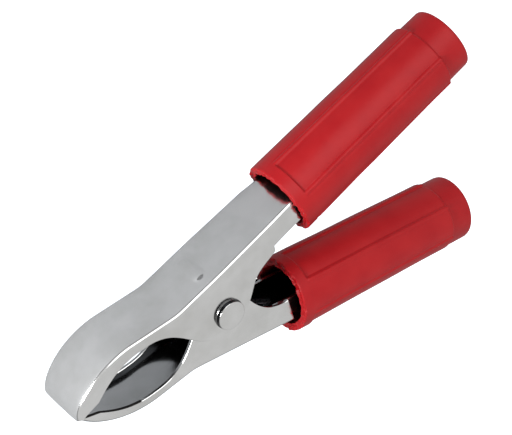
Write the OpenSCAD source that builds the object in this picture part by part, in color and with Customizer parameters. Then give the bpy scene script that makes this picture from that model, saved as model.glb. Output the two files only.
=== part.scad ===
// Spring-loaded crocodile clip: two pressed steel channel levers on one rivet, with grip sleeves.
// X runs along the clip with the jaws at -X, Z is the rivet axis, and the clip lies on its side.

/* [Levers] */
// Sheet steel thickness
sheet = 0.7; // [0.5:0.05:0.9]
// Outside width of the outer lever's channel
outer_w = 12; // [11.4:0.1:12.4]
// Side gap between the two levers' flanges
flange_gap = 0.1; // [0.05:0.05:0.2]
// Distance from the rivet axis to the jaw tips
jaw_reach = 34.7; // [30:0.1:38]
// Gap left between the closed jaw tips
tip_gap = 0.2; // [0.1:0.05:0.6]
// Angle of the outer lever's handle from the clip's centre line
upper_angle = 12.5; // [10:0.1:14]
// Angle of the inner lever's handle from the clip's centre line
lower_angle = 11.9; // [10:0.1:14]
// How far each handle's channel reaches into its sleeve
handle_reach = 29.3; // [26:0.1:29.5]

/* [Rivet] */
// Shank radius of the pivot rivet
shank_r = 1.6; // [1.2:0.05:1.7]
// Radius of the domed head
head_r = 3.15; // [2.6:0.05:3.4]
// Height of the straight side of the head
head_side = 0.5; // [0.3:0.05:0.7]
// Height of the dome above that side
head_dome = 0.6; // [0.3:0.05:0.8]
// Radial running clearance of the rivet in the flange holes
pivot_clearance = 0.05; // [0.02:0.01:0.1]

/* [Spring] */
// Wire radius of the torsion spring
wire_r = 0.6; // [0.45:0.05:0.65]
// Mean radius of its coil
coil_r = 2.5; // [2.4:0.05:2.6]
// Full turns in the coil
coil_turns = 4; // [3:1:4]

/* [Grip sleeves] */
// Length of one sleeve
sleeve_l = 46.5; // [45:0.1:50]
// Outside radius at the mouth collar
mouth_r = 7.9; // [7.6:0.05:8]
// Outside radius over the grip pads
pad_r = 7.55; // [7.3:0.05:7.7]
// Outside radius of the rear neck
neck_r = 6.85; // [6.6:0.05:7]
// Wall thickness at the neck
neck_wall = 1.35; // [1.1:0.05:1.5]
// Number of grip pads round a sleeve
pad_count = 6; // [4:1:8]

/* [Hidden] */
$fn = 64;

steel = "silver";
wire_grey = "dimgray";
grip_red = "firebrick";

inner_w = outer_w - 2 * (sheet + flange_gap);
hole_r = shank_r + pivot_clearance;
flange_end_x = 13.4;     // where the deep pivot flanges stop and the plain handle channel starts
handle_overlap = 1.2;    // how far the handle channel runs on into the pivot channel
arc_steps = 12;

// Formed far head of the rivet
clench_r = 2.7;
clench_h = 0.8;
clench_round = 0.4;

// Stiffening bar across the back of the upper lever, over the rivet
bar_x = -2;
bar_l = 7.2;
bar_r = 1.9;
bar_rise = 0.4;

// Sleeve mouths, measured along each handle from the point over the rivet
upper_mouth_s = 20.5;
lower_mouth_s = 15;

// Each lever: [channel width, handle channel width, height of handle axis over the rivet, web above it,
// handle channel depth, handle angle, sleeve mouth, waist height, crest height, crest X, crest fullness]
UPPER = [outer_w, outer_w - 0.9, 6.6, 3.0, 5.3, upper_angle, upper_mouth_s, 7.8, 8.5, -21, 1.16];
LOWER = [inner_w, inner_w - 1.6, 7.7, 3.17, 5.4, lower_angle, lower_mouth_s, 8.2, 8.5, -19, 1.5];
waist_x = -10;

collar_l = 2.6;
neck_l = 5.9;
front_root_r = 7.5;      // tube radius between the pads, stretched wider near the mouth
root_r = 7.2;            // tube radius between the pads further back
stretch_l = 17;          // how far back the stretched part reaches
mouth_bore_r = 6.75;
channel_bore_r = 6.4;
neck_bore_r = neck_r - neck_wall;
bore_taper_l = 30;
pad_angle = 38;

// Crimp ears that close round the cable's strands at the rear of each handle, on a narrow strap
crimp_r = 2.2;
crimp_l = 5;
crimp_gap = 1.5;
strap_w = 3;
strap_overlap = 1;
ear_slot = 2;

// The row's origin: middle of the footprint, on the surface that the sleeves rest on
function sleeve_end(lever) = lever[6] + sleeve_l;
function reach_x(lever) = sleeve_end(lever) * cos(lever[5]) + neck_r * sin(lever[5]);
function reach_y(lever) = lever[2] + max(sleeve_end(lever) * sin(lever[5]) + neck_r * cos(lever[5]),
    (sleeve_end(lever) - neck_l) * sin(lever[5]) + pad_r * cos(lever[5]));
centre_x = (max(reach_x(UPPER), reach_x(LOWER)) - jaw_reach) / 2;
centre_y = (reach_y(UPPER) - reach_y(LOWER)) / 2;

function cubic(a, b, c, d, n) = [for (i = [0:n]) let (t = i / n, u = 1 - t)
    u * u * u * a + 3 * u * u * t * b + 3 * u * t * t * c + t * t * t * d];

// Height of a lever's web over the rivet axis: at the handle's start, and between there and the waist
function rear_web(lever) = lever[2] + flange_end_x * tan(lever[5]) + lever[3] / cos(lever[5]);
function web_y(lever, x) = lever[7] + (rear_web(lever) - lever[7]) * (x - waist_x) / (flange_end_x - waist_x);

// Back of the jaw: a rounded crest from the tip, then the waist and the straight web over the rivet
function back_line(lever, drop) = concat(
    [for (i = [0:arc_steps]) let (a = 180 - 90 * i / arc_steps)
        [lever[9] + (jaw_reach + lever[9] - drop) * cos(a),
         max((lever[8] - drop) * pow(sin(a), lever[10]), tip_gap / 2)]],
    [[waist_x, web_y(lever, waist_x) - drop], [flange_end_x, web_y(lever, flange_end_x) - drop]]);

// Free edge of the upper lever's flange, from the rear end forward to the jaw tip
function upper_edge() = concat(
    [[flange_end_x, 6.0]],
    cubic([13.0, 5.8], [9.6, 4.6], [8.4, 4.1], [7.2, 2.6], 5),
    cubic([7.1, 2.4], [5.4, -0.2], [4.0, -3.65], [-1.4, -3.65], 9),
    cubic([-1.8, -3.65], [-9.3, -4.0], [-9.6, 5.7], [-18.2, 5.8], 14),
    cubic([-18.7, 5.8], [-24.0, 6.1], [-27.0, 4.0], [-30.2, 1.4], 8),
    [[-33.9, 0.5]]);

// Free edge of the lower lever's flange, drawn for the lever turned face up
function lower_edge() = concat(
    [[flange_end_x, 7.8]],
    cubic([13.2, 7.8], [9.5, 7.6], [6.9, 4.6], [5.4, 1.2], 9),
    cubic([5.3, 1.0], [4.2, -1.5], [3.5, -3.65], [-1.0, -3.65], 7),
    cubic([-1.4, -3.65], [-8.8, -3.8], [-8.8, 6.3], [-18.2, 6.2], 14),
    cubic([-18.7, 6.2], [-23.6, 6.3], [-26.8, 4.6], [-30.4, 1.7], 8),
    [[-33.9, 0.6]]);

// One straight slab of the lever's side outline, centred on the rivet axis
module slab(points, w) {
    linear_extrude(height = w, center = true) polygon(points);
}

// Everything under the back line, used to hollow the channel
module below_back(lever, w) {
    slab(concat(back_line(lever, sheet), [[flange_end_x + 1, web_y(lever, flange_end_x + 1) - sheet],
        [flange_end_x + 1, -12], [-jaw_reach - 1, -12], [-jaw_reach - 1, -1]]), w);
}

// A lever's handle frame: X along the handle from the point over the rivet
module on_handle(lever) {
    translate([0, lever[2], 0]) rotate([0, 0, lever[5]]) children();
}

// Straight channel of the handle, open towards the other lever
module handle_channel(lever) {
    start = (flange_end_x - handle_overlap) / cos(lever[5]);
    length = lever[6] + handle_reach - start;
    on_handle(lever) translate([start, lever[3] - lever[4], 0]) difference() {
        translate([0, 0, -lever[1] / 2]) cube([length, lever[4], lever[1]]);
        translate([-1, -1, sheet - lever[1] / 2])
            cube([length + 2, lever[4] + 1 - sheet, lever[1] - 2 * sheet]);
    }
}

// Narrow strap and open ring of the crimp ears behind the handle channel
module crimp(lever) {
    on_handle(lever) translate([lever[6] + handle_reach, lever[3] - sheet, 0]) {
        translate([-strap_overlap, 0, -strap_w / 2])
            cube([strap_overlap + crimp_gap + crimp_l, sheet, strap_w]);
        translate([crimp_gap, -crimp_r, 0]) rotate([0, 90, 0]) difference() {
            cylinder(r = crimp_r + sheet, h = crimp_l);
            translate([0, 0, -1]) cylinder(r = crimp_r, h = crimp_l + 2);
            translate([-ear_slot / 2, -crimp_r - ear_slot, -1])
                cube([ear_slot, crimp_r + ear_slot, crimp_l + 2]);
        }
    }
}

// Shallow stiffening bar pressed outwards across the back of the upper lever
module web_bar() {
    translate([bar_x, web_y(UPPER, bar_x) + bar_rise - bar_r, 0]) intersection() {
        cylinder(r = bar_r, h = bar_l, center = true);
        translate([-bar_r, bar_r - 2 * bar_rise, -bar_l / 2]) cube([2 * bar_r, 3 * bar_rise, bar_l]);
    }
}

module lever_body(lever, edge) {
    difference() {
        slab(concat(back_line(lever, 0), edge), lever[0]);
        below_back(lever, lever[0] - 2 * sheet);
        translate([0, 0, -lever[0]]) cylinder(r = hole_r, h = 2 * lever[0]);
    }
    handle_channel(lever);
    crimp(lever);
}

module place() {
    translate([-centre_x, -centre_y, mouth_r]) children();
}

module upper_lever() {
    color(steel) place() {
        lever_body(UPPER, upper_edge());
        web_bar();
    }
}

module lower_lever() {
    color(steel) place() mirror([0, 1, 0]) lever_body(LOWER, lower_edge());
}

// Solid rivet: domed head on the near side, flatter formed head on the far side
module pivot_rivet() {
    face = outer_w / 2;
    color(steel) place() {
        rotate_extrude() polygon(concat(
            [[0, -face - clench_h], [clench_r - clench_round, -face - clench_h],
             [clench_r, -face - clench_h + clench_round], [clench_r, -face], [shank_r, -face],
             [shank_r, face], [head_r, face], [head_r, face + head_side]],
            [for (i = [1:8]) let (a = 90 * i / 8)
                [head_r * cos(a), face + head_side + head_dome * sin(a)]]));
    }
}

function unit(v) = v / norm(v);

// One eight-sided ring of wire round point p, square to the direction of travel d
function wire_ring(p, d) = let (side = unit(cross(d, [0, 0, 1])), up = cross(side, d))
    [for (k = [0:7]) p + wire_r * (cos(45 * k) * side + sin(45 * k) * up)];

// Angle at which a leg that ends at p leaves the coil
function leave_angle(p) = atan2(p[1], p[0]) - asin(coil_r / norm(p)) + 90;

// The wire runs in from the lower web, winds clockwise round the rivet and out to the upper web
leg_x = 13;
leg_play = 0.15;
upper_tip = [leg_x, web_y(UPPER, leg_x) - sheet - wire_r - leg_play];
lower_tip = [leg_x, -web_y(LOWER, leg_x) + sheet + wire_r + leg_play];
coil_half = (coil_turns - 1) * (wire_r + 0.04);
coil_from = 360 - leave_angle([leg_x, -lower_tip[1]]);
coil_to = leave_angle(upper_tip) - 360 * (coil_turns - 1);
coil_steps = 18 * coil_turns;
wire_route = concat(
    [[lower_tip[0], lower_tip[1], -coil_half]],
    [for (i = [0:coil_steps]) let (t = i / coil_steps, a = coil_from + (coil_to - coil_from) * t)
        [coil_r * cos(a), coil_r * sin(a), coil_half * (2 * t - 1)]],
    [[upper_tip[0], upper_tip[1], coil_half]]);

module torsion_spring() {
    last = len(wire_route) - 1;
    rings = [for (i = [0:last])
        wire_ring(wire_route[i], unit(wire_route[min(i + 1, last)] - wire_route[max(i - 1, 0)]))];
    color(wire_grey) place() polyhedron(
        points = [for (ring = rings) for (p = ring) p],
        faces = concat(
            [[for (k = [0:7]) k]],
            [for (i = [0:last - 1]) for (k = [0:7])
                [8 * i + k, 8 * i + 8 + k, 8 * i + 8 + (k + 1) % 8, 8 * i + (k + 1) % 8]],
            [[for (k = [7:-1:0]) 8 * last + k]]));
}

// One sleeve along +X from its mouth, with raised pads between a smooth collar and a smaller neck
module sleeve() {
    pad_end = sleeve_l - neck_l;
    rotate([0, 90, 0]) {
        rotate_extrude() polygon([
            [mouth_bore_r, 0], [mouth_r, 0], [mouth_r, collar_l - 0.4], [front_root_r, collar_l],
            [root_r, stretch_l], [root_r - 0.05, pad_end], [neck_r, pad_end], [neck_r, sleeve_l],
            [neck_bore_r, sleeve_l], [neck_bore_r, pad_end - 1], [channel_bore_r, bore_taper_l]]);
        for (i = [0:pad_count - 1]) rotate([0, 0, (i + 0.5) * 360 / pad_count - pad_angle / 2])
            rotate_extrude(angle = pad_angle) polygon([
                [root_r - 0.3, collar_l - 0.2], [mouth_r - 0.05, collar_l - 0.2], [pad_r, stretch_l],
                [pad_r - 0.1, pad_end], [root_r - 0.3, pad_end]]);
    }
}

module upper_sleeve() {
    color(grip_red) place() on_handle(UPPER) translate([upper_mouth_s, 0, 0]) sleeve();
}

module lower_sleeve() {
    color(grip_red) place() mirror([0, 1, 0]) on_handle(LOWER) translate([lower_mouth_s, 0, 0]) sleeve();
}

upper_lever();
lower_lever();
pivot_rivet();
torsion_spring();
upper_sleeve();
lower_sleeve();
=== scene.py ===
import math

import bmesh
import bpy
from mathutils import Matrix, Vector, noise


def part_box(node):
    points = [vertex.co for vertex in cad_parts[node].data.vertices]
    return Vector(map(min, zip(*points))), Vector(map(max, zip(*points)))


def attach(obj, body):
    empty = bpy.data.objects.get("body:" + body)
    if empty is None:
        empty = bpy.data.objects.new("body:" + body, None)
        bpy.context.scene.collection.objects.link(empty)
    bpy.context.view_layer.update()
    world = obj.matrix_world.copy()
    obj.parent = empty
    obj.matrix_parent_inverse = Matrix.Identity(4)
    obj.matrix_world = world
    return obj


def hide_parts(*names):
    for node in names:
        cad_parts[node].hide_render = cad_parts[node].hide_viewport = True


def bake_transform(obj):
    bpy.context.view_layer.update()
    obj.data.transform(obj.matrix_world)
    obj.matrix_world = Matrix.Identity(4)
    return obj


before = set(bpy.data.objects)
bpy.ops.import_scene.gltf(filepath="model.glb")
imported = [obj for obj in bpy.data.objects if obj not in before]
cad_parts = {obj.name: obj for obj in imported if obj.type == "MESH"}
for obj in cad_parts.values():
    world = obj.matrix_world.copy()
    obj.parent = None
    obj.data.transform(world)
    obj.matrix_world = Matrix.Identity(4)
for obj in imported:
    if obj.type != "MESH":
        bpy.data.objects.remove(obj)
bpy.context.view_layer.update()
scene = bpy.context.scene

# Everything below is worked out in millimetres from the rivet: X to the handles, Y to the upper lever,
# Z along the rivet with 0 in the middle of the sheet-metal channels
mm = 0.001
rivetLow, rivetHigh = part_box("pivot_rivet")
leverLow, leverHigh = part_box("upper_lever")
pivot = Vector((
    (rivetLow.x + rivetHigh.x) / 2,
    (rivetLow.y + rivetHigh.y) / 2,
    (leverLow.z + leverHigh.z) / 2,
))


def fromPivot(x, y, z):
    return pivot + Vector((x, y, z)) * mm


def fromHex(code):
    channels = [int(code[i:i + 2], 16) / 255 for i in (1, 3, 5)]
    linear = [c / 12.92 if c <= 0.04045 else ((c + 0.055) / 1.055) ** 2.4 for c in channels]
    return (linear[0], linear[1], linear[2], 1.0)


def mix(a, b, t):
    return a + (b - a) * t


def ease(t):  # smooth 0 to 1
    t = min(max(t, 0.0), 1.0)
    return t * t * (3 - 2 * t)


# Camera

cameraSetup = {
    "aimX": 14.4,  # mm from the rivet
    "aimY": 10.6,
    "distance": 290.0,
    "azimuth": 119.04,  # degrees
    "elevation": 41.5,
    "roll": -124.27,
    "lens": 107.9,
    "sensor": 36.0,
}


def addCamera(setup):
    azimuth = math.radians(setup["azimuth"])
    elevation = math.radians(setup["elevation"])
    flat = math.cos(elevation)
    toCamera = Vector((flat * math.cos(azimuth), flat * math.sin(azimuth), math.sin(elevation)))
    data = bpy.data.cameras.new("camera")
    data.lens = setup["lens"]
    data.sensor_width = setup["sensor"]
    data.clip_start = 0.01
    camera = bpy.data.objects.new("camera", data)
    scene.collection.objects.link(camera)
    turn = toCamera.to_track_quat("Z", "Y").to_matrix().to_4x4()
    turn = turn @ Matrix.Rotation(-math.radians(setup["roll"]), 4, "Z")
    aim = fromPivot(setup["aimX"], setup["aimY"], 0)
    camera.matrix_world = Matrix.Translation(aim + toCamera * setup["distance"] * mm) @ turn
    scene.camera = camera


addCamera(cameraSetup)
print("camera placed")


# Materials

def addNode(tree, kind, inputs=None, **settings):  # one node, its settings, and its values or links
    made = tree.nodes.new("ShaderNode" + kind)
    for name, value in settings.items():
        setattr(made, name, value)
    for name, value in (inputs or {}).items():
        if isinstance(value, bpy.types.NodeSocket):
            tree.links.new(value, made.inputs[name])
        else:
            made.inputs[name].default_value = value
    return made


def newMaterial(name):
    material = bpy.data.materials.new(name)
    material.use_nodes = True
    tree = material.node_tree
    tree.nodes.clear()
    output = addNode(tree, "OutputMaterial")
    return material, tree, output


def perMetre(size):  # texture scale for a pattern of this size in mm
    return 1 / (size * mm)


nickelLook = {
    "light": "#C9C9C9",
    "dull": "#BDBDBC",
    "roughness": 0.12,
    "roughSpread": 0.07,
    "cloud": 9.0,  # mm, soft patches left by the plating bath
    "grain": 0.5,  # mm, sheet rolling grain, coarser than real so that it shows
    "grainDepth": 0.004,
    "grainRun": 0.06,  # the grain is drawn out along the clip
    # painted shade: the colour is darkened where a face is closed in
    "shadeReach": 9.0,  # mm over which a face looks for open sky
    "shutIn": 0.12,  # share of open sky at which a face is as dark as it gets
    "open": 0.42,
    "deepest": 0.02,
}

# near-black cut edge: the shear marks are real, the darkness is painted shade
cutEdgeShadeLook = {
    "dark": "#1C1A19",
    "bright": "#4A4745",
    "roughness": 0.5,
    "shear": 0.4,  # mm between the shear marks, coarser than real so that they show
    "markDepth": 0.01,
}

# Painted shade: the channels' inner skins take a near-black copy of the plating, for the shade inside them
paintedShadeInsideLook = dict(nickelLook, light="#26282A", dull="#17181A", cloud=4.0)


def nickelPlatedSteel(name, look):
    # Cold-rolled steel sheet, blanked, bent and barrel nickel plated: a bright mirror with soft patches,
    # and painted shade, which darkens its colour wherever it faces into its own channel
    material, tree, output = newMaterial(name)
    place = addNode(tree, "TexCoord")
    clouds = addNode(tree, "TexNoise", {
        "Vector": place.outputs["Object"], "Scale": perMetre(look["cloud"]),
        "Detail": 3.0, "Roughness": 0.55})
    stretch = addNode(tree, "Mapping", {
        "Vector": place.outputs["Object"], "Scale": (look["grainRun"], 1.0, 1.0)})
    grain = addNode(tree, "TexNoise", {
        "Vector": stretch.outputs["Vector"], "Scale": perMetre(look["grain"]), "Detail": 4.0})
    tone = addNode(tree, "ValToRGB", {"Fac": clouds.outputs["Fac"]})
    tone.color_ramp.elements[0].position = 0.35
    tone.color_ramp.elements[0].color = fromHex(look["dull"])
    tone.color_ramp.elements[1].position = 0.62
    tone.color_ramp.elements[1].color = fromHex(look["light"])
    # painted shade: ambient occlusion darkens the colour where the sheet faces into its channel
    paintedShadeProbe = addNode(tree, "AmbientOcclusion", {"Distance": look["shadeReach"] * mm}, samples=12)
    depth = addNode(tree, "MapRange", {
        "Value": paintedShadeProbe.outputs["AO"], "From Min": look["shutIn"], "From Max": look["open"],
        "To Min": look["deepest"], "To Max": 1.0})
    shaded = addNode(tree, "MixRGB", {
        "Fac": 1.0, "Color1": tone.outputs["Color"],
        "Color2": depth.outputs["Result"]}, blend_type="MULTIPLY")
    rough = addNode(tree, "MapRange", {
        "Value": grain.outputs["Fac"],
        "To Min": look["roughness"], "To Max": look["roughness"] + look["roughSpread"]})
    bump = addNode(tree, "Bump", {
        "Height": grain.outputs["Fac"], "Strength": 0.35, "Distance": look["grainDepth"] * mm})
    surface = addNode(tree, "BsdfPrincipled", {
        "Base Color": shaded.outputs["Color"], "Metallic": 1.0,
        "Roughness": rough.outputs["Result"], "Normal": bump.outputs["Normal"]})
    tree.links.new(surface.outputs["BSDF"], output.inputs["Surface"])
    return material


def shearedSteelPaintedShade(look):
    # Cut edges of the sheet, blanked after rolling, with fine shear marks across them; their near-black
    # colour is painted shade
    material, tree, output = newMaterial("sheared_steel_edge_painted_shade")
    place = addNode(tree, "TexCoord")
    marks = addNode(tree, "TexNoise", {
        "Vector": place.outputs["Object"], "Scale": perMetre(look["shear"]), "Detail": 3.0})
    tone = addNode(tree, "ValToRGB", {"Fac": marks.outputs["Fac"]})
    tone.color_ramp.elements[0].position = 0.3
    tone.color_ramp.elements[0].color = fromHex(look["dark"])
    tone.color_ramp.elements[1].position = 0.8
    tone.color_ramp.elements[1].color = fromHex(look["bright"])
    bump = addNode(tree, "Bump", {
        "Height": marks.outputs["Fac"], "Strength": 0.4, "Distance": look["markDepth"] * mm})
    surface = addNode(tree, "BsdfPrincipled", {
        "Base Color": tone.outputs["Color"], "Metallic": 1.0, "Roughness": look["roughness"],
        "Normal": bump.outputs["Normal"]})
    tree.links.new(surface.outputs["BSDF"], output.inputs["Surface"])
    return material


wireLook = {
    "bright": "#8F969E",
    "dark": "#4A5058",
    "roughness": 0.3,
    "drawMark": 0.35,  # mm between die marks round the wire, coarser than real so that they show
    "markDepth": 0.01,
}


def drawnSpringWire(look):
    # Patented carbon spring wire: grey, with fine die marks along it and a trace of oil
    material, tree, output = newMaterial("drawn_spring_wire")
    place = addNode(tree, "TexCoord")
    marks = addNode(tree, "TexNoise", {
        "Vector": place.outputs["Object"], "Scale": perMetre(look["drawMark"]), "Detail": 3.0})
    tone = addNode(tree, "ValToRGB", {"Fac": marks.outputs["Fac"]})
    tone.color_ramp.elements[0].position = 0.3
    tone.color_ramp.elements[0].color = fromHex(look["dark"])
    tone.color_ramp.elements[1].position = 0.7
    tone.color_ramp.elements[1].color = fromHex(look["bright"])
    bump = addNode(tree, "Bump", {
        "Height": marks.outputs["Fac"], "Strength": 0.3, "Distance": look["markDepth"] * mm})
    surface = addNode(tree, "BsdfPrincipled", {
        "Base Color": tone.outputs["Color"], "Metallic": 1.0, "Roughness": look["roughness"],
        "Normal": bump.outputs["Normal"]})
    tree.links.new(surface.outputs["BSDF"], output.inputs["Surface"])
    return material


pvcLook = {
    "body": "#970A12",
    "worn": "#A01418",
    "sheen": 0.2,
    "roughness": 0.4,
    "roughSpread": 0.1,
    "grain": 0.22,  # mm, spark texture of the mould, coarser than real so that it shows
    "grainDepth": 0.03,
    "cloud": 5.0,  # mm, uneven colour in the plastic
    "shadeReach": 9.0,  # mm over which a face looks for open sky
    "shutIn": 0.15,
    "open": 0.5,
    "deepest": 0.03,
}


def softRedPvc(look):
    # Plasticised PVC from a spark-textured mould: saturated red, a broad satin sheen broken by fine grain
    material, tree, output = newMaterial("soft_red_pvc")
    place = addNode(tree, "TexCoord")
    grain = addNode(tree, "TexNoise", {
        "Vector": place.outputs["Object"], "Scale": perMetre(look["grain"]), "Detail": 2.0})
    clouds = addNode(tree, "TexNoise", {
        "Vector": place.outputs["Object"], "Scale": perMetre(look["cloud"]), "Detail": 3.0})
    tone = addNode(tree, "ValToRGB", {"Fac": clouds.outputs["Fac"]})
    tone.color_ramp.elements[0].position = 0.35
    tone.color_ramp.elements[0].color = fromHex(look["body"])
    tone.color_ramp.elements[1].position = 0.75
    tone.color_ramp.elements[1].color = fromHex(look["worn"])
    # painted shade: ambient occlusion darkens the red inside the bore and wherever the sleeve is closed in
    bore = addNode(tree, "AmbientOcclusion", {"Distance": look["shadeReach"] * mm}, samples=12)
    depth = addNode(tree, "MapRange", {
        "Value": bore.outputs["AO"], "From Min": look["shutIn"], "From Max": look["open"],
        "To Min": look["deepest"], "To Max": 1.0})
    shaded = addNode(tree, "MixRGB", {
        "Fac": 1.0, "Color1": tone.outputs["Color"],
        "Color2": depth.outputs["Result"]}, blend_type="MULTIPLY")
    rough = addNode(tree, "MapRange", {
        "Value": clouds.outputs["Fac"],
        "To Min": look["roughness"], "To Max": look["roughness"] + look["roughSpread"]})
    bump = addNode(tree, "Bump", {
        "Height": grain.outputs["Fac"], "Strength": 0.5, "Distance": look["grainDepth"] * mm})
    surface = addNode(tree, "BsdfPrincipled", {
        "Base Color": shaded.outputs["Color"], "Roughness": rough.outputs["Result"],
        "IOR": 1.53, "Specular IOR Level": look["sheen"], "Normal": bump.outputs["Normal"]})
    tree.links.new(surface.outputs["BSDF"], output.inputs["Surface"])
    return material


steelFinish = nickelPlatedSteel("nickel_plated_steel", nickelLook)
paintedShadeInsideFinish = nickelPlatedSteel("channel_inside_painted_shade", paintedShadeInsideLook)
edgePaintedShadeFinish = shearedSteelPaintedShade(cutEdgeShadeLook)
wireFinish = drawnSpringWire(wireLook)
pvcFinish = softRedPvc(pvcLook)
print("materials made")


# Mesh helpers

# others holds further finishes, each with the faces that take it
def addMesh(name, points, faces, finish, sharpAngle=38, others=()):
    data = bpy.data.meshes.new(name)
    data.from_pydata([tuple(p) for p in points], [], faces)
    outward = bmesh.new()
    outward.from_mesh(data)
    bmesh.ops.recalc_face_normals(outward, faces=outward.faces)
    outward.to_mesh(data)
    outward.free()
    data.update()
    for polygon in data.polygons:
        polygon.use_smooth = True
    data.set_sharp_from_angle(angle=math.radians(sharpAngle))
    data.materials.append(finish)
    for otherFinish, members in others:
        data.materials.append(otherFinish)
        for i in members:
            data.polygons[i].material_index = len(data.materials) - 1
    made = bpy.data.objects.new(name, data)
    scene.collection.objects.link(made)
    return made


def bridge(rings, closed=True):  # faces between equal rings of points, numbered ring after ring
    count = len(rings[0])
    around = count if closed else count - 1
    faces = []
    for i in range(len(rings) - 1):
        here = count * i
        there = here + count
        for j in range(around):
            following = (j + 1) % count
            faces.append((here + j, here + following, there + following, there + j))
    return faces


def cubic(a, b, c, d, steps):
    found = []
    for i in range(steps + 1):
        t = i / steps
        u = 1 - t
        weights = (u * u * u, 3 * u * u * t, 3 * u * t * t, t * t * t)
        found.append(tuple(sum(w * p[k] for w, p in zip(weights, (a, b, c, d))) for k in (0, 1)))
    return found


def heightAt(outline, x):  # Y of an outline listed from its rear end forward
    for (x1, y1), (x0, y0) in zip(outline, outline[1:]):
        if x0 <= x <= x1:
            return y0 if x1 == x0 else mix(y0, y1, (x - x0) / (x1 - x0))
    return outline[0][1] if x > outline[0][0] else outline[-1][1]


# Levers

sheet = {
    "thickness": 0.7,
    "bendRadius": 0.8,  # outside of the press bends
    "burr": 0.09,  # softened cut edge
    "crown": 0.14,  # how far the web falls away towards its bends
    "reach": 34.7,  # rivet to jaw tips
    "tipGap": 0.1,
    "flangeEnd": 13.4,  # X where the deep pivot flanges stop
    "waist": -10.0,
    "waistEase": 0.192,  # softens the corner of the back at the waist
    "step": 0.3,  # between sections along the jaw
    "notch": 0.02,  # sections this close make the sharp step at the flanges' end
    "tipBack": 0.7,  # the free edges start this far behind the tip of the back
    "tipBackFrom": -24.0,
    "lipFrom": -30.0,  # X where the web's edge starts to stand ahead
    "lipCorner": 0.9,
    "spreadEnd": 15.0,  # X where the sprung-open side starts to close towards the sleeve
    "spreadKept": 0.2,
    "handleReach": 29.3,  # how far each handle channel goes into its sleeve
}

upperShape = {
    "side": 1,
    "width": 12.0,
    "rearWidth": 11.1,
    "drawIn": (2.0, 20.0),  # X where the channel narrows towards the sleeve
    "axisHeight": 6.6,
    "angle": math.radians(12.5),
    "webOverAxis": 3.0,
    "handleDepth": 5.3,
    "mouth": 20.5,
    "crest": 8.5,
    "crestX": -21.0,
    "fullness": 1.16,
    "waistHeight": 7.8,
    "paintedShadeEdgeEnd": 13.0,  # the cut edge is painted dark, as painted shade, from the tip to here
    "tipLip": 0.5,  # the web's edge stands ahead of the flange tips
    "farSpread": 0.5,  # the channel springs open a little on the far side
    "rearSections": 60,
    "bar": {"x": -2.0, "halfLength": 3.6, "halfWidth": 1.35, "rise": 0.45},
}

lowerShape = {
    "side": -1,
    "width": 10.4,
    "rearWidth": 8.8,
    "axisHeight": 7.7,
    "angle": math.radians(11.9),
    "webOverAxis": 3.17,
    "handleDepth": 5.4,
    "mouth": 15.0,
    "crest": 8.5,
    "crestX": -19.0,
    "fullness": 1.5,
    "waistHeight": 8.2,
    "paintedShadeEdgeEnd": -22.5,
    "handleStart": 10.5,  # X where the separate handle channel begins
    "tuck": 0.75,  # the handle channel's web lies inside the pivot channel's web
    "tipLip": 0.1,
    "farSpread": 0.0,
    "rearSections": 90,
}


def upperFreeEdge():
    return (
        [(13.4, 6.0)]
        + cubic((13.0, 5.8), (9.6, 4.6), (8.4, 4.1), (7.2, 2.6), 8)
        + cubic((7.1, 2.4), (5.4, -0.2), (4.0, -3.65), (-1.4, -3.65), 24)
        + cubic((-1.8, -3.65), (-9.3, -4.0), (-9.6, 5.7), (-18.2, 5.8), 30)
        + cubic((-18.7, 5.8), (-24.0, 6.1), (-27.0, 4.0), (-30.2, 1.4), 16)
        + [(-33.2, 0.55), (-34.0, 0.12)]
    )


def lowerFreeEdge():
    return (
        [(13.4, 7.8)]
        + cubic((13.2, 7.8), (9.5, 7.6), (6.9, 4.6), (5.4, 1.2), 16)
        + cubic((5.3, 1.0), (4.2, -1.5), (3.5, -3.65), (-1.0, -3.65), 20)
        + cubic((-1.4, -3.65), (-8.8, -3.8), (-8.8, 6.3), (-18.2, 6.2), 30)
        + cubic((-18.7, 6.2), (-23.6, 6.3), (-26.8, 4.6), (-30.4, 1.7), 16)
        + [(-33.2, 0.6), (-34.0, 0.12)]
    )


def axisAt(shape, x):
    return shape["axisHeight"] + x * math.tan(shape["angle"])


def handleWeb(shape, x):
    return axisAt(shape, x) + shape["webOverAxis"] / math.cos(shape["angle"])


def webAt(shape, x):
    end = sheet["flangeEnd"]
    if x >= end:
        return handleWeb(shape, x)
    t = (x - sheet["waist"]) / (end - sheet["waist"])
    return mix(shape["waistHeight"], handleWeb(shape, end), t)


def backOf(shape, x):  # height of the pressed back, with the corner at the waist eased
    half = sheet["reach"] + shape["crestX"]
    if x <= shape["crestX"]:
        across = min((shape["crestX"] - x) / half, 1.0)
        return max(shape["crest"] * (1 - across * across) ** (shape["fullness"] / 2), sheet["tipGap"])
    run = sheet["waist"] - shape["crestX"]
    ahead = mix(shape["crest"], shape["waistHeight"], (x - shape["crestX"]) / run)
    behind = webAt(shape, x)
    return (ahead + behind + math.hypot(behind - ahead, sheet["waistEase"])) / 2


def backStations(shape, last):  # X values from the tip to the rear, close together where the tip curves
    half = sheet["reach"] + shape["crestX"]
    curved = 46
    found = [shape["crestX"] + half * math.cos(math.pi * (1 - 0.5 * i / curved)) for i in range(curved)]
    steps = int((last - shape["crestX"]) / sheet["step"])
    found += [mix(shape["crestX"], last, i / steps) for i in range(steps + 1)]
    return found


def barRise(shape, x, z):  # the stiffening bar pressed across the upper web
    bar = shape.get("bar")
    if not bar:
        return 0.0
    beyond = max(abs(z) - (bar["halfLength"] - bar["halfWidth"]), 0.0)
    away = math.hypot(x - bar["x"], beyond) / bar["halfWidth"]
    return bar["rise"] * math.sqrt(1 - away * away) if away < 1 else 0.0


channelSteps = {"side": 7, "bend": 6, "halfWeb": 13}  # faces along each part of the bent section


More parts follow.
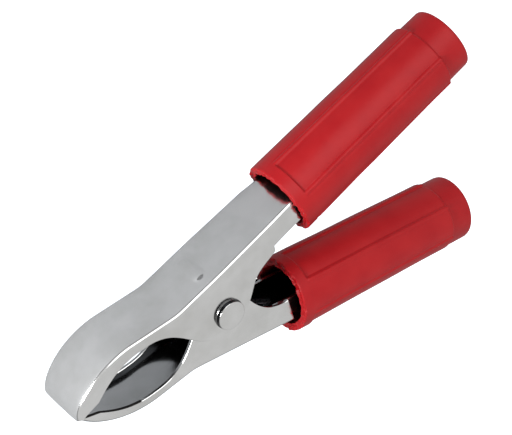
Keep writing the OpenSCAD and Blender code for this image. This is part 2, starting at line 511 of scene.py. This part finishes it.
def channelRing(shape, back, inward, free, width):  # closed section of the bent sheet at one station
    radius = sheet["bendRadius"]
    thick = sheet["thickness"]
    burr = sheet["burr"]
    half = width / 2
    crown = sheet["crown"]
    turn = back + inward * (radius + crown)
    up = turn - free
    length = max(up.length, 1e-4)
    up = up / length

    def layer(depth):  # half of one skin, from the free edge to the middle of the web
        z = half - depth
        skin = []
        for i in range(channelSteps["side"] + 1):
            along = mix(min(burr, length / 3), length, i / channelSteps["side"])
            spot = free + up * along
            skin.append((spot.x, spot.y, z))
        for i in range(1, channelSteps["bend"] + 1):
            lean = math.pi / 2 * i / channelSteps["bend"]
            spot = turn - inward * (radius - depth) * math.sin(lean)
            skin.append((spot.x, spot.y, half - radius + (radius - depth) * math.cos(lean)))
        flatHalf = half - radius
        for i in range(1, channelSteps["halfWeb"] + 1):
            zWeb = mix(flatHalf, 0, i / (channelSteps["halfWeb"]))
            fall = crown * (zWeb / flatHalf) ** 4
            spot = back + inward * (depth + fall - barRise(shape, back.x, zWeb))
            skin.append((spot.x, spot.y, zWeb))
        return skin

    outer = layer(0.0)
    inner = layer(thick)
    edge = [(free.x, free.y, half - thick + burr), (free.x, free.y, half - burr)]
    nearSide = edge + outer
    farSide = [(x, y, -z) for x, y, z in reversed(edge + outer[:-1])]
    innerFar = [(x, y, -z) for x, y, z in inner]
    innerNear = list(reversed(inner[:-1]))
    return nearSide + farSide + innerFar + innerNear


def ringCap(base, count):  # closes the end of a bent sheet between its two skins
    return [(base + 1 + k, base + 2 + k, base + count - 1 - k, base + (count - k) % count)
            for k in range(count // 2 - 1)]


def channelMesh(shape, stations, freeOf, widthOf, backAt):
    side = shape["side"]
    near = 0.02  # mm to each side, for the slope of the back
    rings = []
    for x in stations:
        inward = Vector((1.0, 0.0))
        if x - near > -sheet["reach"]:
            inward = Vector((backAt(x + near) - backAt(x - near), -2 * near)).normalized()
        half = widthOf(x) / 2
        ring = channelRing(shape, Vector((x, backAt(x))), inward, freeOf(x), widthOf(x))
        lip = shape["tipLip"] * ease((sheet["lipFrom"] - x) / (sheet["reach"] + sheet["lipFrom"]))
        spread = shape["farSpread"] * mix(1, sheet["spreadKept"], ease((x - sheet["spreadEnd"]) / 4))
        placed = []
        for px, py, pz in ring:
            forward = lip * ease((half - abs(pz)) / sheet["lipCorner"])
            out = spread * max(-pz / half, 0)
            placed.append(fromPivot(px - forward, py * side, pz - out))
        rings.append(placed)
    count = len(rings[0])
    faces = bridge(rings)
    faces += ringCap(0, count)
    faces += ringCap(count * (len(rings) - 1), count)
    points = [p for ring in rings for p in ring]
    middle = count // 2
    cutFaces = (count - 1, 0, 1, middle - 1, middle, middle + 1)
    # cut-edge faces towards the tip take the dark edge finish: painted shade
    dark = [count * i + j for i, x in enumerate(stations[:-1]) if x < shape["paintedShadeEdgeEnd"] for j in cutFaces]
    folded = channelSteps["side"] + channelSteps["bend"]  # faces of one flange and its bend
    # inner skins of the flanges and bends, which take the near-black painted shade
    innerFaces = list(range(middle + 2, middle + 2 + folded)) + list(range(count - 1 - folded, count - 1))
    inside = [count * i + j for i in range(len(stations) - 1) for j in innerFaces]
    return points, faces, dark, inside


def tipShift(x):
    run = sheet["reach"] + sheet["tipBackFrom"]
    return sheet["tipBack"] * ease((sheet["tipBackFrom"] - x) / run)


def joined(name, parts, finish):
    points = []
    faces = []
    shadedEdges = []
    shadedInsides = []
    for partPoints, partFaces, partShadedEdges, partShadedInsides in parts:
        base = len(points)
        shadedEdges += [len(faces) + i for i in partShadedEdges]
        shadedInsides += [len(faces) + i for i in partShadedInsides]
        points += partPoints
        faces += [tuple(base + i for i in face) for face in partFaces]
    return addMesh(name, points, faces, finish, others=((edgePaintedShadeFinish, shadedEdges), (paintedShadeInsideFinish, shadedInsides)))


crimp = {
    "gap": 1.5,
    "length": 5.0,
    "radius": 2.2,
    "strap": 3.0,
    "overlap": 1.0,  # of the strap and the channel
    "opening": math.radians(28),
    "steps": 28,
}


def crimpParts(shape):  # strap and open ring behind the handle channel, hidden in the sleeve
    start = shape["mouth"] + sheet["handleReach"]
    top = shape["webOverAxis"]
    thick = sheet["thickness"]
    side = shape["side"]
    cosA = math.cos(shape["angle"])
    sinA = math.sin(shape["angle"])

    def onHandle(s, h, z):
        return fromPivot(s * cosA - h * sinA, (shape["axisHeight"] + s * sinA + h * cosA) * side, z)

    strapRings = []
    for s in (start - crimp["overlap"], start + crimp["gap"] + crimp["length"]):
        half = crimp["strap"] / 2
        strapRings.append([onHandle(s, top, -half), onHandle(s, top, half),
                           onHandle(s, top - thick, half), onHandle(s, top - thick, -half)])
    strapFaces = bridge(strapRings) + [(3, 2, 1, 0), (4, 5, 6, 7)]
    ears = []
    steps = crimp["steps"]
    centre = top - thick - crimp["radius"]
    for i in range(steps + 1):
        turn = mix(crimp["opening"] / 2 - math.pi / 2, math.pi * 1.5 - crimp["opening"] / 2, i / steps)
        ring = []
        for s, r in ((0, crimp["radius"]), (0, crimp["radius"] + thick),
                     (crimp["length"], crimp["radius"] + thick), (crimp["length"], crimp["radius"])):
            ring.append(onHandle(start + crimp["gap"] + s, centre + r * math.sin(turn), r * math.cos(turn)))
        ears.append(ring)
    earFaces = bridge(ears) + [(3, 2, 1, 0), tuple(4 * steps + k for k in range(4))]
    return [([p for r in strapRings for p in r], strapFaces, [], []),
            ([p for r in ears for p in r], earFaces, [], [])]


def handleFree(shape, x):  # free edge of the plain handle channel
    drop = (shape["webOverAxis"] - shape["handleDepth"]) / math.cos(shape["angle"])
    return axisAt(shape, x) + drop


def buildUpperLever():
    shape = upperShape
    edge = upperFreeEdge()
    last = (shape["mouth"] + sheet["handleReach"]) * math.cos(shape["angle"])
    stations = backStations(shape, sheet["flangeEnd"] - sheet["notch"])
    stations += [sheet["flangeEnd"] + sheet["notch"]]
    count = shape["rearSections"]
    stations += [mix(sheet["flangeEnd"], last, i / count) for i in range(1, count + 1)]

    def free(x):
        if x > sheet["flangeEnd"]:
            return Vector((x, handleFree(shape, x)))
        ahead = x + tipShift(x)
        return Vector((ahead, heightAt(edge, ahead)))

    def width(x):
        low, high = shape["drawIn"]
        return mix(shape["width"], shape["rearWidth"], min(max((x - low) / (high - low), 0), 1))

    body = channelMesh(shape, stations, free, width, lambda x: backOf(shape, x))
    made = joined("upper_lever_sheet", [body] + crimpParts(shape), steelFinish)
    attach(made, "upper")
    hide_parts("upper_lever")


def buildLowerLever():
    shape = lowerShape
    edge = lowerFreeEdge()
    stations = backStations(shape, sheet["flangeEnd"])

    def free(x):
        ahead = x + tipShift(x)
        return Vector((ahead, heightAt(edge, ahead)))

    body = channelMesh(shape, stations, free, lambda x: shape["width"], lambda x: backOf(shape, x))
    last = (shape["mouth"] + sheet["handleReach"]) * math.cos(shape["angle"])
    count = shape["rearSections"]
    rear = [mix(shape["handleStart"], last, i / count) for i in range(count + 1)]

    def rearBack(x):
        return handleWeb(shape, x) - shape["tuck"] * (1 - ease((x - sheet["flangeEnd"]) / 4))

    handle = channelMesh(
        shape, rear, lambda x: Vector((x, handleFree(shape, x))),
        lambda x: shape["rearWidth"], rearBack)
    made = joined("lower_lever_sheet", [body, handle] + crimpParts(shape), steelFinish)
    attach(made, "lower")
    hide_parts("lower_lever")


buildUpperLever()
buildLowerLever()
print("levers made")


# Rivet

rivet = {
    "shank": 1.6,
    "head": 3.15,
    "lip": 0.2,  # thin rim squeezed out under the head
    "wallRadius": 2.98,
    "wallTop": 0.95,
    "dome": 0.22,
    "farHead": 2.7,
    "farHeight": 0.8,
    "farForm": ((0.02, 0.12), (0.8, 0.1), (1.1, 0), (2.2, 0), (2.52, 0.08)),  # radius, depth from the end
    "around": 72,
    "rim": 0.14,  # rounding of the head's edge
}


def lathe(profile, count):
    return [[fromPivot(r * math.cos(2 * math.pi * k / count), r * math.sin(2 * math.pi * k / count), z)
             for k in range(count)] for r, z in profile]


def buildRivet():
    face = upperShape["width"] / 2
    rim = rivet["rim"]
    farFace = face + upperShape["farSpread"]
    low = -farFace - rivet["farHeight"]
    profile = [(r, low + deep) for r, deep in rivet["farForm"]]
    profile += [(rivet["farHead"], low + 0.32), (rivet["farHead"], -farFace), (rivet["shank"], -farFace)]
    profile += [(rivet["shank"], mix(-farFace, face, i / 6)) for i in range(1, 7)]
    top = face + rivet["wallTop"]
    wall = rivet["wallRadius"]
    lip = face + rivet["lip"]
    head = rivet["head"]
    profile += [(head - 0.06, face + 0.01), (head, face + 0.08), (head - 0.05, lip)]
    shadeFrom = len(profile)
    profile += [(wall + 0.04, lip - 0.03), (wall, lip), (wall, top - rim)]
    for i in range(1, 6):
        lean = math.pi / 2 * i / 5
        profile.append((wall - rim + rim * math.cos(lean), top - rim + rim * math.sin(lean)))
    inside = wall - rim
    for i in range(1, 15):
        across = math.cos(math.pi / 2 * i / 14.2)
        profile.append((inside * across, top + rivet["dome"] * (1 - across * across)))
    around = rivet["around"]
    rings = lathe(profile, around)
    points = [p for ring in rings for p in ring]
    faces = bridge(rings)
    faces.append(tuple(range(around)))
    faces.append(tuple(around * (len(rings) - 1) + k for k in range(around)))
    # the head's side wall takes the near-black finish: painted shade, the dark crescent round the head
    shade = list(range(around * shadeFrom, around * (shadeFrom + 3)))
    made = addMesh("pivot_rivet_turned", points, faces, steelFinish, others=((paintedShadeInsideFinish, shade),))
    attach(made, "upper")
    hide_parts("pivot_rivet")


buildRivet()
print("rivet made")


# Spring

spring = {
    "wire": 0.6,
    "coil": 2.5,
    "turns": 4,
    "legX": 13.0,
    "play": 0.15,
    "turnGap": 0.04,
    "sides": 12,
    "stepsPerTurn": 40,
}


def buildSpring():
    wire = spring["wire"]
    coil = spring["coil"]
    inset = sheet["thickness"] + wire + spring["play"]
    upTip = (spring["legX"], webAt(upperShape, spring["legX"]) - inset)
    downTip = (spring["legX"], -webAt(lowerShape, spring["legX"]) + inset)

    def leaves(x, y):  # angle at which a leg that ends at x, y meets the coil
        return math.atan2(y, x) - math.asin(coil / math.hypot(x, y)) + math.pi / 2

    halfLength = (spring["turns"] - 1) * (wire + spring["turnGap"])
    first = 2 * math.pi - leaves(downTip[0], -downTip[1])
    last = leaves(*upTip) - 2 * math.pi * (spring["turns"] - 1)
    steps = spring["turns"] * spring["stepsPerTurn"]
    route = [Vector((downTip[0], downTip[1], -halfLength))]
    start = Vector((coil * math.cos(first), coil * math.sin(first), -halfLength))
    route += [route[0].lerp(start, i / 8) for i in range(1, 8)]
    for i in range(steps + 1):
        turn = mix(first, last, i / steps)
        rise = mix(-halfLength, halfLength, i / steps)
        route.append(Vector((coil * math.cos(turn), coil * math.sin(turn), rise)))
    end = Vector((upTip[0], upTip[1], halfLength))
    coilEnd = route[-1].copy()
    route += [coilEnd.lerp(end, i / 8) for i in range(1, 9)]
    rings = []
    for i, spot in enumerate(route):
        travel = (route[min(i + 1, len(route) - 1)] - route[max(i - 1, 0)]).normalized()
        across = travel.cross(Vector((0, 0, 1))).normalized()
        over = across.cross(travel)
        ring = []
        for k in range(spring["sides"]):
            turn = 2 * math.pi * k / spring["sides"]
            p = spot + (across * math.cos(turn) + over * math.sin(turn)) * wire
            ring.append(fromPivot(p.x, p.y, p.z))
        rings.append(ring)
    faces = bridge(rings)
    sides = spring["sides"]
    faces.append(tuple(range(sides)))
    faces.append(tuple(sides * (len(rings) - 1) + k for k in range(sides)))
    made = addMesh("torsion_spring_wire", [p for ring in rings for p in ring], faces, wireFinish)
    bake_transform(made)
    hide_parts("torsion_spring")


buildSpring()
print("spring made")


# Grip sleeves

sleeve = {
    "length": 46.5,
    "mouth": 7.9,
    "collar": 2.6,
    "padFront": 7.84,
    "padWaist": 7.7,
    "waistAt": 17.0,
    "padRear": 7.55,
    "padEnd": 40.6,
    "neck": 7.0,
    "recess": 0.3,
    "lip": 0.13,
    "panels": 6,
    "bore": 6.3,
    "channelBore": 6.25,
    "front": 0.35,  # the rim stands this far back from the mouth's furthest flash
    "boreTaper": 30.0,
    "neckBore": 5.5,
    "flash": 0.5,  # unevenness of the mouth
    "edgeRound": 0.28,  # moulded corner of each recessed panel
    "groove": 0.07,
    "swell": 0.05,
    "around": 288,
}


def sleeveRadius(s, turn, phase):
    panel = 2 * math.pi / sleeve["panels"]
    place = ((turn - phase) % (2 * panel)) / panel  # 0 to 1 is a recessed panel, 1 to 2 a raised one
    if s < sleeve["waistAt"]:
        raised = mix(sleeve["padFront"], sleeve["padWaist"],
                     ease((s - sleeve["collar"]) / (sleeve["waistAt"] - sleeve["collar"])))
    else:
        raised = mix(sleeve["padWaist"], sleeve["padRear"], ease((s - sleeve["waistAt"]) / 20))
    fromStep = min(place % 1, 1 - place % 1) * panel * raised  # mm round from the nearest panel edge
    recessed = place < 1
    if recessed:
        edge = ease(fromStep / sleeve["edgeRound"])
        deep = sleeve["recess"] * edge
        front = ease((s - sleeve["collar"] - 0.15) / 0.3)
        rear = 1 - ease((s - sleeve["padEnd"] + 0.1) / 0.35)
        panelRadius = raised - deep * front
    else:
        ridge = sleeve["lip"] * ease(fromStep / 0.2) * (1 - ease((fromStep - 0.45) / 0.3))
        groove = sleeve["groove"] * ease((fromStep - 0.7) / 0.15) * (1 - ease((fromStep - 0.95) / 0.25))
        front = ease((s - sleeve["collar"]) / 0.8)
        panelRadius = raised + (ridge - groove) * front
        rear = 1 - ease((s - sleeve["padEnd"]) / 0.5)
    collarRadius = sleeve["mouth"] - 0.04
    if s < sleeve["collar"]:
        return collarRadius
    if s < sleeve["collar"] + 0.5:
        return mix(collarRadius, panelRadius, ease((s - sleeve["collar"]) / 0.5))
    neckRadius = sleeve["neck"] + 0.03 * (sleeve["length"] - s) / 6
    return mix(neckRadius, panelRadius, rear)


def sleeveStations():
    collar = sleeve["collar"]
    end = sleeve["padEnd"]
    found = [0.7, 1.0, 1.5, 2.0, 2.5]
    found += [collar + v for v in (0.02, 0.1, 0.2, 0.3, 0.4, 0.55, 0.8, 1.2)]
    found += [mix(collar + 1.6, end - 0.6, i / 44) for i in range(45)]
    found += [end + v for v in (-0.3, -0.15, -0.05, 0.05, 0.15, 0.25, 0.35, 0.5, 0.8, 1.4)]
    found += [mix(end + 2, sleeve["length"] - 0.45, i / 7) for i in range(8)]
    return found


def buildSleeve(name, body, node, shape, phase, seed):
    side = shape["side"]
    cosA = math.cos(shape["angle"])
    sinA = math.sin(shape["angle"])
    around = sleeve["around"]

    def spot(s, r, turn):
        out = r * math.sin(turn)
        along = shape["mouth"] + s
        x = along * cosA - out * sinA
        y = shape["axisHeight"] + along * sinA + out * cosA
        return fromPivot(x, y * side, r * math.cos(turn))

    turns = [2 * math.pi * k / around for k in range(around)]

    def ragged(turn, size, amount, offset):  # seeded unevenness round the mouth
        where = Vector((math.cos(turn) * size, math.sin(turn) * size, seed + offset))
        return noise.noise(where) * amount

    def swell(s, turn):  # soft moulding is never quite true
        where = Vector((math.cos(turn) * 2.2, math.sin(turn) * 2.2, s * 0.11 + seed))
        return noise.noise(where) * sleeve["swell"]

    rings = []
    end = sleeve["length"]
    neck = sleeve["neck"]
    wallIn = [
        (end - 1.2, sleeve["neckBore"]), (sleeve["padEnd"] - 1, sleeve["neckBore"]),
        (sleeve["boreTaper"] + 4, mix(sleeve["channelBore"], sleeve["neckBore"], 0.4)),
        (sleeve["boreTaper"], sleeve["channelBore"]), (15.0, 6.26), (5.0, 6.28), (1.6, sleeve["bore"]),
    ]
    flash = sleeve["flash"]
    front = sleeve["front"]
    rings.append([spot(front + 0.5, sleeve["bore"], t) for t in turns])
    rings.append([spot(front + ragged(t, 5, flash, 0), sleeve["bore"] + 0.06 + ragged(t, 6, 0.3, 7), t)
                  for t in turns])
    rings.append([spot(front - 0.12 + ragged(t, 5, flash, 0), sleeve["bore"] + 0.3 + ragged(t, 6, 0.2, 7), t)
                  for t in turns])
    rings.append([spot(front + 0.14 + ragged(t, 6, 0.3, 3), sleeve["bore"] + 0.62, t) for t in turns])
    rings.append([spot(front - 0.02 + ragged(t, 7, 0.4, 5), sleeve["mouth"] - 0.36, t) for t in turns])
    rings.append([spot(front + ragged(t, 7, 0.4, 5), sleeve["mouth"] - 0.14, t) for t in turns])
    rings.append([spot(front + 0.14 + ragged(t, 7, 0.25, 5), sleeve["mouth"] - 0.03, t) for t in turns])
    for s in sleeveStations():
        rings.append([spot(s, sleeveRadius(s, t, phase) + swell(s, t) * ease(s / 3), t) for t in turns])
    rings.append([spot(end - 0.18, neck - 0.06, t) for t in turns])
    rings.append([spot(end - 0.04, neck - 0.2, t) for t in turns])
    rings.append([spot(end, neck - 0.4, t) for t in turns])
    rings.append([spot(end, sleeve["neckBore"] + 0.25, t) for t in turns])
    rings.append([spot(end - 0.2, sleeve["neckBore"], t) for t in turns])
    for s, r in wallIn:
        rings.append([spot(s, r, t) for t in turns])
    faces = bridge(rings)
    lastRing = around * (len(rings) - 1)
    faces += [(lastRing + j, lastRing + (j + 1) % around, (j + 1) % around, j) for j in range(around)]
    made = addMesh(name, [p for ring in rings for p in ring], faces, pvcFinish, 50)
    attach(made, body)
    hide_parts(node)


buildSleeve("upper_sleeve_moulded", "upper", "upper_sleeve", upperShape, math.radians(28), 3.0)
buildSleeve("lower_sleeve_moulded", "lower", "lower_sleeve", lowerShape, math.radians(-107), 8.0)
print("sleeves made")


# Floor and light

paper = {
    "glow": "#EDF3FA",
    "seenGlow": 1.5,
    "mirroredGlow": 0.32,
    "dark": "#8C8C8C",
    "light": "#949494",
    "fibre": 1.5,  # mm, clouding of the paper, coarser than real
    "half": 1.5,  # metres
}


def addFloor():
    # Matt white paper, burnt out to plain white, though the metal still mirrors the shade under the clip
    material, tree, output = newMaterial("white_sweep")
    place = addNode(tree, "TexCoord")
    fibre = addNode(tree, "TexNoise", {"Vector": place.outputs["Object"], "Scale": perMetre(paper["fibre"])})
    tone = addNode(tree, "ValToRGB", {"Fac": fibre.outputs["Fac"]})
    tone.color_ramp.elements[0].color = fromHex(paper["dark"])
    tone.color_ramp.elements[1].color = fromHex(paper["light"])
    rays = addNode(tree, "LightPath")
    glow = addNode(tree, "MapRange", {
        "Value": rays.outputs["Is Camera Ray"],
        "To Min": paper["mirroredGlow"], "To Max": paper["seenGlow"]})
    surface = addNode(tree, "BsdfPrincipled", {
        "Base Color": tone.outputs["Color"], "Roughness": 0.9,
        "Emission Color": fromHex(paper["glow"]), "Emission Strength": glow.outputs["Result"]})
    tree.links.new(surface.outputs["BSDF"], output.inputs["Surface"])
    half = paper["half"]
    corners = [(-half, -half, 0), (half, -half, 0), (half, half, 0), (-half, half, 0)]
    data = bpy.data.meshes.new("floor")
    data.from_pydata(corners, [], [(0, 1, 2, 3)])
    data.materials.append(material)
    floor = bpy.data.objects.new("floor", data)
    scene.collection.objects.link(floor)


# Distance and size in metres; the front one is low, ahead of the jaws
softboxes = {
    "key": {"towards": (0.14, 0.68, 0.70), "distance": 0.55, "size": 0.42, "power": 1.12},
    "front": {"towards": (-0.9, 0.42, 0.25), "distance": 0.13, "size": 0.05, "power": 0.2},
}


def addSoftbox(name, setup):
    data = bpy.data.lights.new(name, "AREA")
    data.shape = "DISK"
    data.size = setup["size"]
    data.energy = setup["power"]
    lamp = bpy.data.objects.new(name, data)
    scene.collection.objects.link(lamp)
    away = Vector(setup["towards"]).normalized()
    turn = away.to_track_quat("Z", "Y").to_matrix().to_4x4()
    lamp.matrix_world = Matrix.Translation(fromPivot(16, 0, 0) + away * setup["distance"]) @ turn


lightTent = {  # open and dim near the floor
    "low": "#8A8B8C",
    "high": "#F5F5F4",
    "lowEnd": 0.08,
    "highFrom": 0.42,
    "strength": 0.98,
}


def addWorld():
    world = bpy.data.worlds.new("studio")
    world.use_nodes = True
    tree = world.node_tree
    place = addNode(tree, "TexCoord")
    height = addNode(tree, "SeparateXYZ", {"Vector": place.outputs["Generated"]})
    tent = addNode(tree, "ValToRGB", {"Fac": height.outputs["Z"]})
    tent.color_ramp.elements[0].position = lightTent["lowEnd"]
    tent.color_ramp.elements[0].color = fromHex(lightTent["low"])
    tent.color_ramp.elements[1].position = lightTent["highFrom"]
    tent.color_ramp.elements[1].color = fromHex(lightTent["high"])
    backdrop = tree.nodes["Background"]
    backdrop.inputs["Strength"].default_value = lightTent["strength"]
    tree.links.new(tent.outputs["Color"], backdrop.inputs["Color"])
    scene.world = world


addFloor()
for name, setup in softboxes.items():
    addSoftbox(name, setup)
addWorld()
scene.view_settings.view_transform = "Standard"
print("studio lit")
